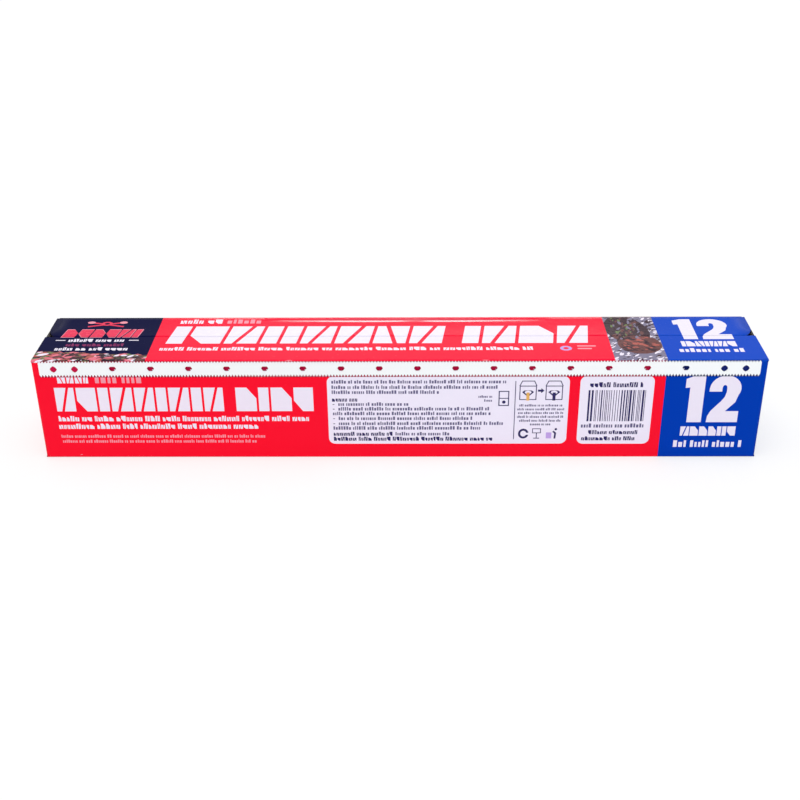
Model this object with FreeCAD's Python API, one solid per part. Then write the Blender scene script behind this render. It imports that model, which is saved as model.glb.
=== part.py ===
import FreeCAD, Part

import math
import os

Vector = FreeCAD.Vector

# Foil wound on its paper core.
FOIL_WIDTH = 300.0
FOIL_LENGTH = 12000.0
FOIL_GAUGE = 0.011
WINDING_FILL = 0.85
CORE_BORE = 30.0
CORE_WALL = 1.5
CORE_PROUD = 1.0
CORE_FIT_GAP = 0.1
END_RINGS = 4
END_RING_STEP = 0.25
FREE_END_LENGTH = 7.0
FREE_END_THICKNESS = 0.2
FREE_END_ANGLE = 45.0
FREE_END_ROOT = 2.5

# The folded box: its board, and the room that it leaves round the roll.
BOARD = 0.45
CREASE_INSIDE = 0.45
ROLL_END_PLAY = 2.65
ROLL_SIDE_PLAY = 3.5
ROLL_HEAD_ROOM = 10.4
ROLL_SEAT_GAP = 0.2

# The top is die-cut along its length: a fixed ledge in front, the lid behind.
LEDGE_DEPTH = 23.4
SEAM_GAP = 0.3
LID_END_SETBACK = 0.2
LID_CORNER_INSET = 2.1
LID_CORNER_RUN = 9.0
LID_SEAT_GAP = 0.15
HINGE_GAP = 0.1

# Flaps that close the ends, and the glued lap along the rear bottom edge.
FLAP_EDGE_GAP = 0.4
DUST_FLAP_HEIGHT = 10.0
DUST_FLAP_TAPER = 4.0
GLUE_LAP_HEIGHT = 14.0

# Push-in tab, die-cut in each end on the line of the core and still held by its nicks.
TAB_WIDTH = 14.0
TAB_LENGTH = 13.0
TAB_TIP_RADIUS = 3.5
TAB_KERF = 0.4
TAB_NICK = 0.8
TAB_WINDOW_MARGIN = 1.5

# Saw-toothed cutter strip on the front, pierced in an even row and once more past each end of it.
# A hole is the mark of a four-cornered punch: its tips stand further out than its bulging sides.
# The row's holes are flat on top, but for its first and last. There the metal is bent back as a
# prong, which goes through a slit in the board and is clinched behind it.
BLADE_END_MARGIN = 3.0
BLADE_HEIGHT = 7.5
BLADE_THICKNESS = 0.22
BLADE_TOP_DROP = 0.1
TOOTH_PITCH = 1.3
UPPER_TOOTH = 0.8
LOWER_TOOTH = 1.2
HOLE_TIP = 1.55
HOLE_SIDE = 1.35
HOLE_FLAT = 0.9
HOLE_COUNT = 18
END_HOLE_MARGIN = 6.2
END_HOLE_STEP = 9.0
PRONG_WIDTH = 1.8
PRONG_FOOT = 1.3
PRONG_GAP = 0.05

# Sizes that follow from the roll.
CORE_DIAMETER = CORE_BORE + 2 * CORE_WALL
CORE_LENGTH = FOIL_WIDTH + 2 * CORE_PROUD
WINDING_BORE = CORE_DIAMETER + 2 * CORE_FIT_GAP
WINDING_AREA = FOIL_LENGTH * FOIL_GAUGE / WINDING_FILL
ROLL_DIAMETER = math.sqrt(WINDING_BORE ** 2 + 4 * WINDING_AREA / math.pi)
ROLL_Z = BOARD + ROLL_SEAT_GAP + ROLL_DIAMETER / 2

# The closed box. X runs along it, its front faces -Y, and it stands on z = 0.
CREASE_RADIUS = CREASE_INSIDE + BOARD
HALF_LENGTH = CORE_LENGTH / 2 + ROLL_END_PLAY + 3 * BOARD
REAR = ROLL_DIAMETER / 2 + ROLL_SIDE_PLAY + BOARD
FRONT = -REAR
UNDER_TOP = ROLL_Z + ROLL_DIAMETER / 2 + ROLL_HEAD_ROOM
BOX_HEIGHT = UNDER_TOP + BOARD
FLAP_TOP = UNDER_TOP - LID_SEAT_GAP
SEAM = FRONT + LEDGE_DEPTH
HINGE_Y = REAR - BOARD / 2
HINGE_Z = BOX_HEIGHT - BOARD / 2

# The cutter strip, and the height of its holes and of its prongs' undersides.
BLADE_LENGTH = 2 * (HALF_LENGTH - BLADE_END_MARGIN)
BLADE_TOP = BOX_HEIGHT - BLADE_TOP_DROP
HOLE_Z = BLADE_TOP - BLADE_HEIGHT / 2
PRONG_Z = HOLE_Z + (HOLE_TIP + HOLE_FLAT) / 2

ALONG = Vector(1, 0, 0)
UP = Vector(0, 0, 1)


def block(low, high):
    """A box between two corners."""
    size = [high[i] - low[i] for i in range(3)]
    return Part.makeBox(size[0], size[1], size[2], Vector(*low))


def both_ends(low, high):
    """A box near the right end and its mirror image at the left end."""
    right = block(low, high)
    return [right, right.mirror(Vector(0, 0, 0), ALONG)]


def edges_along(shape, direction, wanted):
    """The straight edges of a shape along one direction whose middle passes a test."""
    found = []
    for edge in shape.Edges:
        start = edge.Vertexes[0].Point
        run = edge.Vertexes[-1].Point - start
        in_line = run.Length > 0 and run.cross(direction).Length < 0.001 * run.Length
        if in_line and wanted(start + run * 0.5):
            found.append(edge)
    return found


def folded(outside, inside, direction, wanted):
    """Board folded round a space: both boxes get their crease radius, then the inner one is cut out."""
    outside = outside.makeFillet(CREASE_RADIUS, edges_along(outside, direction, wanted))
    inside = inside.makeFillet(CREASE_INSIDE, edges_along(inside, direction, wanted))
    return outside.cut(inside)


def prism(points, thickness):
    """A flat outline of corner points, pushed out along a thickness vector."""
    return Part.Face(Part.makePolygon(points + points[:1])).extrude(thickness)


def tube_x(outer, inner, length, z):
    """A tube along X, centred on x = 0 and y = 0."""
    start = Vector(-length / 2, 0, z)
    body = Part.makeCylinder(outer / 2, length, start, ALONG)
    return body.cut(Part.makeCylinder(inner / 2, length, start, ALONG))


def row_places():
    """Where the even row of holes in the cutter strip is along X."""
    last = BLADE_LENGTH / 2 - END_HOLE_MARGIN - END_HOLE_STEP
    return [last * (2 * i / (HOLE_COUNT - 1) - 1) for i in range(HOLE_COUNT)]


def copies_along(shape, places):
    """Copies of a shape made at x = 0, one for each place along X."""
    copies = []
    for x in places:
        copy = shape.copy()
        copy.translate(Vector(x, 0, 0))
        copies.append(copy)
    return copies


def main_sheet():
    """Ledge, front, floor and glue lap: one strip of board folded round three long creases."""
    lap_face = REAR - BOARD
    lap_inside = lap_face - BOARD
    outside = block((-HALF_LENGTH, FRONT, 0), (HALF_LENGTH, lap_face, BOX_HEIGHT))
    inside = block((-HALF_LENGTH, FRONT + BOARD, BOARD), (HALF_LENGTH, lap_inside, UNDER_TOP))
    sheet = folded(outside, inside, ALONG, lambda middle: True)
    waste = [block((-HALF_LENGTH, SEAM, UNDER_TOP - CREASE_RADIUS), (HALF_LENGTH, REAR, BOX_HEIGHT))]
    waste += [block((-HALF_LENGTH, lap_inside, GLUE_LAP_HEIGHT), (HALF_LENGTH, REAR, BOX_HEIGHT))]
    floor_end = HALF_LENGTH - 2 * BOARD
    front_end = HALF_LENGTH - CREASE_RADIUS
    waste += both_ends((floor_end, FRONT + BOARD, 0), (HALF_LENGTH, REAR, GLUE_LAP_HEIGHT))
    front_top = BOX_HEIGHT - CREASE_RADIUS
    waste += both_ends((front_end, FRONT, 0), (HALF_LENGTH, FRONT + CREASE_RADIUS, front_top))
    return sheet.cut(waste)


def front_wrap():
    """The front's face again with the outer end flaps, which fold round its two upright creases."""
    inner_end = HALF_LENGTH - BOARD
    rear_edge = REAR - FLAP_EDGE_GAP
    outside = block((-HALF_LENGTH, FRONT, FLAP_EDGE_GAP), (HALF_LENGTH, rear_edge, FLAP_TOP))
    inside = block((-inner_end, FRONT + BOARD, 0), (inner_end, REAR, BOX_HEIGHT))
    wrap = folded(outside, inside, UP, lambda middle: middle.y < 0)
    front_end = HALF_LENGTH - CREASE_RADIUS
    below = block((-front_end, FRONT, 0), (front_end, FRONT + BOARD, CREASE_RADIUS))
    above = block((-front_end, FRONT, BOX_HEIGHT - CREASE_RADIUS), (front_end, FRONT + BOARD, BOX_HEIGHT))
    return wrap.cut([below, above] + [tab_kerf(side) for side in (-1, 1)])


def rear_wrap():
    """The rear panel with the middle end flaps, which lie against the outer ones."""
    outer_end = HALF_LENGTH - BOARD
    inner_end = outer_end - BOARD
    bead_end = outer_end - CREASE_RADIUS
    front_edge = FRONT + BOARD + CREASE_RADIUS
    outside = block((-outer_end, front_edge, FLAP_EDGE_GAP), (outer_end, REAR, HINGE_Z))
    inside = block((-inner_end, FRONT, 0), (inner_end, REAR - BOARD, BOX_HEIGHT))
    wrap = folded(outside, inside, UP, lambda middle: middle.y > 0)
    flap_top = FLAP_TOP - BOARD
    waste = [block((-HALF_LENGTH, FRONT, flap_top), (HALF_LENGTH, REAR - BOARD, BOX_HEIGHT))]
    waste += both_ends((bead_end, REAR - 2 * BOARD, flap_top), (HALF_LENGTH, REAR, BOX_HEIGHT))
    waste += [tab_window(side) for side in (-1, 1)]
    bead_start = Vector(-bead_end, HINGE_Y, HINGE_Z)
    bead = Part.makeCylinder(BOARD / 2, 2 * bead_end, bead_start, ALONG)
    return wrap.cut(waste).fuse(bead)


def dust_flap(side):
    """The inner end flap: it folds up from the floor and narrows towards its top."""
    outer = side * (HALF_LENGTH - 2 * BOARD)
    front = FRONT + 2 * BOARD
    rear = REAR - 3 * BOARD
    points = [Vector(outer, front, 0), Vector(outer, rear, 0)]
    points += [Vector(outer, rear - DUST_FLAP_TAPER, DUST_FLAP_HEIGHT)]
    points += [Vector(outer, front + DUST_FLAP_TAPER, DUST_FLAP_HEIGHT)]
    return prism(points, Vector(-side * BOARD, 0, 0))


def tab_outline(margin):
    """Tongue that hangs from its fold to a round tip, as a face in the plane x = 0."""
    half = TAB_WIDTH / 2 + margin
    top = ROLL_Z + TAB_LENGTH / 2
    tip = TAB_TIP_RADIUS + margin
    tip_z = ROLL_Z - TAB_LENGTH / 2 + TAB_TIP_RADIUS
    lean = math.atan2(half - tip, top - tip_z)
    touch_y = tip * math.cos(lean)
    touch_z = tip_z - tip * math.sin(lean)
    corners = [Vector(0, touch_y, touch_z), Vector(0, half, top), Vector(0, -half, top)]
    corners.append(Vector(0, -touch_y, touch_z))
    edges = [Part.makeLine(corners[i], corners[i + 1]) for i in range(3)]
    edges.append(Part.Arc(corners[3], Vector(0, 0, tip_z - tip), corners[0]).toShape())
    return Part.Face(Part.Wire(edges))


def tab_kerf(side):
    """The cut round a push-in tab, broken by three nicks."""
    depth = Vector(side * 2 * BOARD, 0, 0)
    kerf = tab_outline(TAB_KERF).extrude(depth).cut(tab_outline(0).extrude(depth))
    kerf.translate(Vector(side * (HALF_LENGTH - BOARD), 0, 0))
    fold = ROLL_Z + TAB_LENGTH / 2
    span = sorted((side * (HALF_LENGTH - 2 * BOARD), side * (HALF_LENGTH + 2 * BOARD)))
    tip_nick = block((span[0], -TAB_NICK / 2, ROLL_Z - TAB_LENGTH), (span[1], TAB_NICK / 2, ROLL_Z))
    side_nicks = block((span[0], -TAB_WIDTH, ROLL_Z), (span[1], TAB_WIDTH, ROLL_Z + TAB_NICK))
    above_fold = block((span[0], -TAB_WIDTH, fold - BOARD), (span[1], TAB_WIDTH, fold + BOARD))
    return kerf.cut([tip_nick, side_nicks, above_fold])


def tab_window(side):
    """The round hole in the middle flap that the pushed-in tab passes through."""
    start = Vector(side * (HALF_LENGTH - 3 * BOARD), 0, ROLL_Z)
    radius = TAB_WIDTH / 2 + TAB_WINDOW_MARGIN
    return Part.makeCylinder(radius, 2 * BOARD, start, ALONG * side)


def make_carton():
    carton = main_sheet().multiFuse([front_wrap(), rear_wrap(), dust_flap(-1), dust_flap(1)])
    half = PRONG_WIDTH / 2 + PRONG_GAP
    slit_top = PRONG_Z + BLADE_THICKNESS + PRONG_GAP
    slit = block((-half, FRONT - BOARD, PRONG_Z - PRONG_GAP), (half, FRONT + 2 * BOARD, slit_top))
    return carton.cut(copies_along(slit, row_places()[1:-1])).removeSplitter()


def lid_corner(side):
    """Three points of the arc that eases the lid's free corner: on its end, midway, on its edge."""
    half = HALF_LENGTH - LID_END_SETBACK
    start = SEAM + SEAM_GAP + LID_CORNER_RUN
    radius = (LID_CORNER_RUN ** 2 + LID_CORNER_INSET ** 2) / (2 * LID_CORNER_INSET)
    whole_turn = math.asin(LID_CORNER_RUN / radius)
    points = []
    for turn in (0, whole_turn / 2, whole_turn):
        x = half - radius * (1 - math.cos(turn))
        points.append(Vector(side * x, start - radius * math.sin(turn), UNDER_TOP))
    return points


def make_lid():
    """Rear part of the top: full length at its hinge, with eased corners at its free edge."""
    hinge_edge = HINGE_Y - BOARD / 2 - HINGE_GAP
    half = HALF_LENGTH - LID_END_SETBACK
    left_end, left_middle, left_edge = lid_corner(-1)
    right_end, right_middle, right_edge = lid_corner(1)
    rear_left = Vector(-half, hinge_edge, UNDER_TOP)
    rear_right = Vector(half, hinge_edge, UNDER_TOP)
    edges = [Part.makeLine(rear_left, rear_right), Part.makeLine(rear_right, right_end)]
    edges.append(Part.Arc(right_end, right_middle, right_edge).toShape())
    edges.append(Part.makeLine(right_edge, left_edge))
    edges.append(Part.Arc(left_edge, left_middle, left_end).toShape())
    edges.append(Part.makeLine(left_end, rear_left))
    return Part.Face(Part.Wire(edges)).extrude(UP * BOARD)


def toothed_edge(root_z, tooth):
    """Corner points of a saw edge from the left end of the strip to its right end."""
    count = round(BLADE_LENGTH / TOOTH_PITCH)
    step = BLADE_LENGTH / count
    points = []
    for i in range(count):
        left = i * step - BLADE_LENGTH / 2
        points.append(Vector(left, 0, root_z))
        points.append(Vector(left + step / 2, 0, root_z + tooth))
    points.append(Vector(BLADE_LENGTH / 2, 0, root_z))
    return points


def punched_hole(z):
    """A hole of the cutter strip, as a short prism through it: four tips and four bulging sides."""
    corners = []
    for i in range(8):
        reach = HOLE_SIDE if i % 2 else HOLE_TIP
        turn = i * math.pi / 4
        corners.append(Vector(reach * math.cos(turn), 0, z + reach * math.sin(turn)))
    hole = prism(corners, Vector(0, 3 * BLADE_THICKNESS, 0))
    hole.translate(Vector(0, FRONT - 2 * BLADE_THICKNESS, 0))
    return hole


def prong():
    """The metal over a hole's flat: bent back level through the board, then up behind it."""
    face = FRONT - BLADE_THICKNESS
    foot_front = FRONT + BOARD + PRONG_GAP
    foot_back = foot_front + BLADE_THICKNESS
    top = PRONG_Z + BLADE_THICKNESS
    foot_top = top + PRONG_FOOT
    corners = [(face, PRONG_Z), (face, top), (foot_front, top), (foot_front, foot_top)]
    corners += [(foot_back, foot_top), (foot_back, PRONG_Z)]
    left = -PRONG_WIDTH / 2
    return prism([Vector(left, y, z) for y, z in corners], ALONG * PRONG_WIDTH)


def make_cutter_blade():
    upper = toothed_edge(BLADE_TOP - UPPER_TOOTH, UPPER_TOOTH)
    lower = toothed_edge(BLADE_TOP - BLADE_HEIGHT + LOWER_TOOTH, -LOWER_TOOTH)
    strip = prism(upper + lower[::-1], Vector(0, BLADE_THICKNESS, 0))
    strip.translate(Vector(0, FRONT - BLADE_THICKNESS, 0))
    row = row_places()
    end = BLADE_LENGTH / 2 - END_HOLE_MARGIN
    holes = copies_along(punched_hole(HOLE_Z), [-end, row[0], row[-1], end])
    over_flat = block((-HOLE_TIP, FRONT - BOARD, PRONG_Z), (HOLE_TIP, FRONT + BOARD, BLADE_TOP))
    holes += copies_along(punched_hole(PRONG_Z - HOLE_FLAT).cut(over_flat), row[1:-1])
    return strip.cut(holes).multiFuse(copies_along(prong(), row[1:-1])).removeSplitter()


def make_foil_roll():
    """All the turns as one body: rings at its ends, and a doubled free end that stands off it."""
    wall = (ROLL_DIAMETER - WINDING_BORE) / 2
    rings = []
    for i in range(END_RINGS):
        inner = WINDING_BORE + 2 * wall * i / END_RINGS
        outer = WINDING_BORE + 2 * wall * (i + 1) / END_RINGS
        rings.append(tube_x(outer, inner, FOIL_WIDTH - 2 * END_RING_STEP * (i % 2), ROLL_Z))
    angle = math.radians(FREE_END_ANGLE)
    out = Vector(0, math.cos(angle), math.sin(angle))
    forward = Vector(0, -math.sin(angle), math.cos(angle))
    half_width = FOIL_WIDTH / 2 - END_RING_STEP
    touch = Vector(-half_width, 0, ROLL_Z) + out * (ROLL_DIAMETER / 2)
    tip = touch + forward * FREE_END_LENGTH
    lift = out * FREE_END_THICKNESS
    points = [touch - forward * FREE_END_ROOT - lift * 2, touch + lift, tip + lift, tip, touch - lift]
    free_end = prism(points, ALONG * (2 * half_width))
    return rings[0].multiFuse(rings[1:] + [free_end]).removeSplitter()


def make_core_tube():
    return tube_x(CORE_DIAMETER, CORE_BORE, CORE_LENGTH, ROLL_Z)


PIECES = {
    "carton": make_carton,
    "lid": make_lid,
    "cutter_blade": make_cutter_blade,
    "foil_roll": make_foil_roll,
    "core_tube": make_core_tube,
}

os.makedirs("parts", exist_ok=True)
for name, make in PIECES.items():
    make().exportStep("parts/" + name + ".step")
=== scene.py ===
import math
import random

import bpy
from mathutils import Matrix, Vector, noise
from mathutils.geometry import delaunay_2d_cdt


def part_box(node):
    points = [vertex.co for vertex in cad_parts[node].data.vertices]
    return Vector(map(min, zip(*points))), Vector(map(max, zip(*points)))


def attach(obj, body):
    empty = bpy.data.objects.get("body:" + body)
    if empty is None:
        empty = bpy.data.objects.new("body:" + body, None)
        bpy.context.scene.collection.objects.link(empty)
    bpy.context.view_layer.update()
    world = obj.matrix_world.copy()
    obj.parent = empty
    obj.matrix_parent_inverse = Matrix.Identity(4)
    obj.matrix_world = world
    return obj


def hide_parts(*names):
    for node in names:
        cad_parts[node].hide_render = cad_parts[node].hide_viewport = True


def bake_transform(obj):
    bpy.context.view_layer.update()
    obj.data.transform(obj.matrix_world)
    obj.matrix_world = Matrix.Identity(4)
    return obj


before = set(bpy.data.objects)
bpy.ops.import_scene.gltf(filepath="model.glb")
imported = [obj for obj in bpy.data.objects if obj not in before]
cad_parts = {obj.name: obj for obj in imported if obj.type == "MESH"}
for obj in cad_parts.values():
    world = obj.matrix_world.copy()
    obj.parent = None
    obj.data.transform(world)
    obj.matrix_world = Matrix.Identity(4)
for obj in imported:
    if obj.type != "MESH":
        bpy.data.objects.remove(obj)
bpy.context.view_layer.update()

# Lengths are in millimetres, apart from the rim light's and the camera's clipping, which are in metres.
MM = 0.001

# Sizes taken from the frame.
carton_low, carton_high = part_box("carton")
lid_low, lid_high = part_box("lid")
_, blade_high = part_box("cutter_blade")
roll_low, roll_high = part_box("foil_roll")
core_low, core_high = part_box("core_tube")
HALF = carton_high.x / MM
FRONT = carton_low.y / MM
REAR = carton_high.y / MM
HEIGHT = carton_high.z / MM
LID_HALF = lid_high.x / MM
SEAM_REAR = lid_low.y / MM
ROLL_HALF = roll_high.x / MM
ROLL_Z = (core_low.z + core_high.z) / 2 / MM
ROLL_RADIUS = (roll_high.z - roll_low.z) / 2 / MM
CORE_HALF = core_high.x / MM
CORE_RADIUS = (core_high.z - core_low.z) / 2 / MM
BLADE_HALF = blade_high.x / MM
BLADE_TOP = blade_high.z / MM

# The board and how it is folded.
BOARD = 0.45
CREASE = 0.9
CREASE_RUN = CREASE * math.pi / 2
CREASE_FACETS = 8
SEAM_INSET = 0.3
LID_INSET = 0.1
SEAM = SEAM_REAR - SEAM_INSET
LID_EDGE = SEAM + LID_INSET
LEDGE = SEAM - FRONT
FLAP_EDGE = 0.4
FLAP_PLAY = 0.15
FLAP_TOP = HEIGHT - BOARD - FLAP_PLAY
FLAP_START = HALF + FLAP_PLAY
LEDGE_SLIT = 0.25
FLOOR_SLIT = 0.1
FLAP_RELIEF = 0.1
FLAP_SHOULDER = 0.2
GLUE_LAP = 14.0
DUST_HEIGHT = 10.0
DUST_TAPER = 4.0
DUST_FOOT = 0.02
HINGE_Z = HEIGHT - BOARD / 2
LID_CREASE_START = 1.0
LID_CREASE_END = REAR - CREASE - 0.3

# Die cuts, the lid's corners and furrow, and the places at the cutter strip.
TAB_HALF = 7.0
TAB_HALF_LENGTH = 6.5
TAB_TIP = 3.5
TAB_KERF = 0.4
TAB_NICK = 0.8
TAB_WINDOW = 8.5
TAB_TIP_NICK = 0.11
CORNER_INSET = 3.7
CORNER_RUN = 9.0
FURROW_X = 3.0
FURROW_HALF = 64.0
FURROW_START = 16.2
FURROW_END = 20.6
FURROW_LOW = 0.59
FURROW_DEPTH = 0.3
PINCH_X = 6.5
PINCH_REACH = 6.0
PINCH_SHARE = 0.85
LID_SAG = 0.16
HOLE_Z = BLADE_TOP - 3.75
PRONG_Z = HOLE_Z + 1.225
SLIT_HALF = 0.95
SLIT_HEIGHT = 0.32
SLIT_DROP = 0.05
DISH_Z = HOLE_Z - 0.1
DISH_HALF = (1.15, 0.95)
DISH_FLOOR = 0.5
DISH_DEPTH = 0.7
END_HOLE = BLADE_HALF - 6.2
LAST_HOLE = END_HOLE - 9.0
HOLES_IN_ROW = 18
PLAIN_HOLE = 1.8
FLECK_TURN = 90.0
# Heights of the band of painted shade under the cutter strip's lower teeth.
TEETH_SHADE = (41.4, 39.8)

# Where the cutter strip is pierced: an even row, whose inner holes have prongs, and a hole past each end.
HOLE_ROW = [LAST_HOLE * (2 * i / (HOLES_IN_ROW - 1) - 1) for i in range(HOLES_IN_ROW)]
PRONG_HOLES = HOLE_ROW[1:-1]
PLAIN_HOLES = [-END_HOLE, HOLE_ROW[0], HOLE_ROW[-1], END_HOLE]

# Where the printed fields meet along the carton, and a reach past every edge of its sheets.
NAVY_END = -106.7
STRIP_START = 90.9
STRIP_END = 113.0
BLUE_START = 112.8
PAST_SHEET = 220


# Materials.

def material(name, colour, roughness, specular, metallic=0.0):
    """A plain surface: its numbers sit on the shader's own sockets."""
    made = bpy.data.materials.new(name)
    made.use_nodes = True
    shader = made.node_tree.nodes["Principled BSDF"]
    shader.inputs["Base Color"].default_value = (*colour, 1)
    shader.inputs["Roughness"].default_value = roughness
    shader.inputs["Specular IOR Level"].default_value = specular
    shader.inputs["Metallic"].default_value = metallic
    return made


# Each ink has its key, its material's name, a colour, a roughness and a reflectivity.
INK_TABLE = (
    ("red", "red_board", (0.93, 0.002, 0.024), 0.22, 0.07),
    # The top's red is a lighter, pinker copy of the front's red: painted sheen.
    ("red_top", "red_board_top_painted_sheen", (0.93, 0.003, 0.038), 0.22, 0.05),
    ("red_pressed", "red_board_pressed", (0.72, 0.01, 0.05), 0.2, 0.4),
    ("blue", "blue_board", (0.0, 0.042, 0.42), 0.22, 0.02),
    # The top's blue is a lighter copy of the front's blue: painted sheen.
    ("blue_top", "blue_board_top_painted_sheen", (0.004, 0.062, 0.52), 0.22, 0.03),
    ("navy", "navy_board", (0.003, 0.004, 0.04), 0.22, 0.012),
    # Painted shade: darker copies of the red and blue board under the cutter strip's teeth and round its
    # pronged holes.
    ("red_shade", "red_board_painted_shade", (0.3, 0.0, 0.04), 0.4, 0.02),
    ("blue_shade", "blue_board_painted_shade", (0.0, 0.006, 0.07), 0.4, 0.02),
    # Painted shade: darker board seen inside the cutter strip's holes.
    ("red_hole", "red_board_painted_hole_shade", (0.52, 0.008, 0.06), 0.4, 0.02),
    ("blue_hole", "blue_board_painted_hole_shade", (0.008, 0.016, 0.13), 0.4, 0.02),
    ("white", "white_print", (0.82, 0.77, 0.9), 0.25, 0.07),
    ("pink", "pale_red_print", (0.85, 0.3, 0.38), 0.25, 0.07),
    ("title", "title_print", (0.75, 0.03, 0.09), 0.25, 0.07),
    ("maroon", "maroon_print", (0.2, 0.008, 0.09), 0.25, 0.07),
    ("label", "label_print", (0.83, 0.79, 0.93), 0.25, 0.07),
    ("text", "dark_print", (0.03, 0.025, 0.11), 0.25, 0.07),
    ("fine_text", "fine_dark_print", (0.12, 0.11, 0.22), 0.25, 0.07),
    ("ochre", "ochre_print", (0.75, 0.42, 0.12), 0.25, 0.07),
    ("lilac", "lilac_print", (0.5, 0.35, 0.75), 0.25, 0.07),
)
LEAF_COLOURS = {
    "leaf_dark": (0.035, 0.012, 0.022),
    "leaf_brown": (0.13, 0.045, 0.045),
    "leaf_rust": (0.42, 0.1, 0.08),
    "leaf_rose": (0.72, 0.16, 0.22),
    "leaf_green": (0.14, 0.19, 0.07),
    "leaf_pale": (0.8, 0.74, 0.86),
    "leaf_grey": (0.2, 0.18, 0.27),
}
INKS = {key: material(*finish) for key, *finish in INK_TABLE}
for key, colour in LEAF_COLOURS.items():
    INKS[key] = material(key + "_print", colour, 0.3, 0.07)
BOARD_INSIDE = material("board_inside", (0.62, 0.59, 0.55), 0.75, 0.2)
# The cut edges are painted near black, as painted shade for the dark gaps at the lid's corners.
BOARD_EDGE_PAINTED_SHADE = material("board_edge_painted_shade", (0.02, 0.017, 0.018), 0.8, 0.02)
TINPLATE = material("tinplate", (0.93, 0.96, 0.98), 0.38, 0.5, 1.0)


def add_bump(made, scale, stretch, strength):
    """Fine relief from a noise on Object coordinates, stretched along X."""
    nodes, links = made.node_tree.nodes, made.node_tree.links
    place = nodes.new("ShaderNodeTexCoord")
    mapping = nodes.new("ShaderNodeMapping")
    mapping.inputs["Scale"].default_value = (scale * stretch, scale, scale)
    relief = nodes.new("ShaderNodeTexNoise")
    relief.inputs["Scale"].default_value = 1.0
    relief.inputs["Detail"].default_value = 4.0
    bump = nodes.new("ShaderNodeBump")
    bump.inputs["Strength"].default_value = strength
    bump.inputs["Distance"].default_value = 0.4 * MM
    links.new(place.outputs["Object"], mapping.inputs["Vector"])
    links.new(mapping.outputs["Vector"], relief.inputs["Vector"])
    links.new(relief.outputs["Fac"], bump.inputs["Height"])
    links.new(bump.outputs["Normal"], nodes["Principled BSDF"].inputs["Normal"])
    return relief


def vary_gloss(made, relief, share):
    """The surface is a little duller or glossier where its relief is high or low."""
    nodes, links = made.node_tree.nodes, made.node_tree.links
    shader = nodes["Principled BSDF"]
    middle = shader.inputs["Roughness"].default_value
    span = nodes.new("ShaderNodeMapRange")
    span.inputs["From Min"].default_value = 0.3
    span.inputs["From Max"].default_value = 0.7
    span.inputs["To Min"].default_value = middle * (1 - share)
    span.inputs["To Max"].default_value = middle * (1 + share)
    links.new(relief.outputs["Fac"], span.inputs["Value"])
    links.new(span.outputs["Result"], shader.inputs["Roughness"])


def tint(made, relief, dark, light):
    """The surface's colour follows its relief between two colours."""
    nodes, links = made.node_tree.nodes, made.node_tree.links
    ramp = nodes.new("ShaderNodeValToRGB")
    ramp.color_ramp.elements[0].position = 0.3
    ramp.color_ramp.elements[0].color = (*dark, 1)
    ramp.color_ramp.elements[1].position = 0.7
    ramp.color_ramp.elements[1].color = (*light, 1)
    links.new(relief.outputs["Fac"], ramp.inputs["Fac"])
    links.new(ramp.outputs["Color"], nodes["Principled BSDF"].inputs["Base Color"])


for ink in INKS.values():
    vary_gloss(ink, add_bump(ink, 650.0, 0.8, 0.05), 0.25)
vary_gloss(BOARD_INSIDE, add_bump(BOARD_INSIDE, 700.0, 0.3, 0.45), 0.1)
vary_gloss(BOARD_EDGE_PAINTED_SHADE, add_bump(BOARD_EDGE_PAINTED_SHADE, 2500.0, 0.3, 0.3), 0.1)
vary_gloss(TINPLATE, add_bump(TINPLATE, 900.0, 0.06, 0.12), 0.25)
FOIL = material("bright_foil", (0.91, 0.915, 0.92), 0.2, 0.5, 1.0)
vary_gloss(FOIL, add_bump(FOIL, 160.0, 0.25, 0.5), 0.3)
CORE_PAPER = material("core_paper", (0.47, 0.33, 0.2), 0.85, 0.15)
tint(CORE_PAPER, add_bump(CORE_PAPER, 900.0, 0.5, 0.25), (0.4, 0.27, 0.155), (0.52, 0.38, 0.24))


# Folded lines.

class Fold:
    """A folded line in a plane: straight legs, joined by creases that turn towards its inner side."""

    def __init__(self, start, heading, inward, legs):
        self.start = Vector(start)
        self.heading = Vector(heading)
        self.inward = Vector(inward)
        self.legs = legs

    def at(self, run, depth=0.0):
        """The point at a distance along the outer side and at a depth into the board."""
        point, heading, inward = self.start, self.heading, self.inward
        for leg in self.legs[:-1]:
            if run <= leg:
                return point + heading * run + inward * depth
            centre = point + heading * leg + inward * CREASE
            run -= leg
            if run < CREASE_RUN:
                turn = run / CREASE
                facing = inward * math.cos(turn) - heading * math.sin(turn)
                return centre - facing * (CREASE - depth)
            run -= CREASE_RUN
            heading, inward = inward, -heading
            point = centre - inward * CREASE
        return point + heading * run + inward * depth

    def leg_start(self, index):
        """The run at which a leg starts."""
        return sum(self.legs[:index]) + index * CREASE_RUN

    def crease_runs(self):
        """Runs of the lines that cut each crease into facets."""
        runs = []
        for i in range(1, len(self.legs)):
            start = self.leg_start(i) - CREASE_RUN
            runs += [start + CREASE_RUN * j / CREASE_FACETS for j in range(CREASE_FACETS + 1)]
        return runs

    def creased(self, run):
        """True inside a crease."""
        ends = [self.leg_start(i) for i in range(1, len(self.legs))]
        return any(end - CREASE_RUN < run < end for end in ends)


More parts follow.
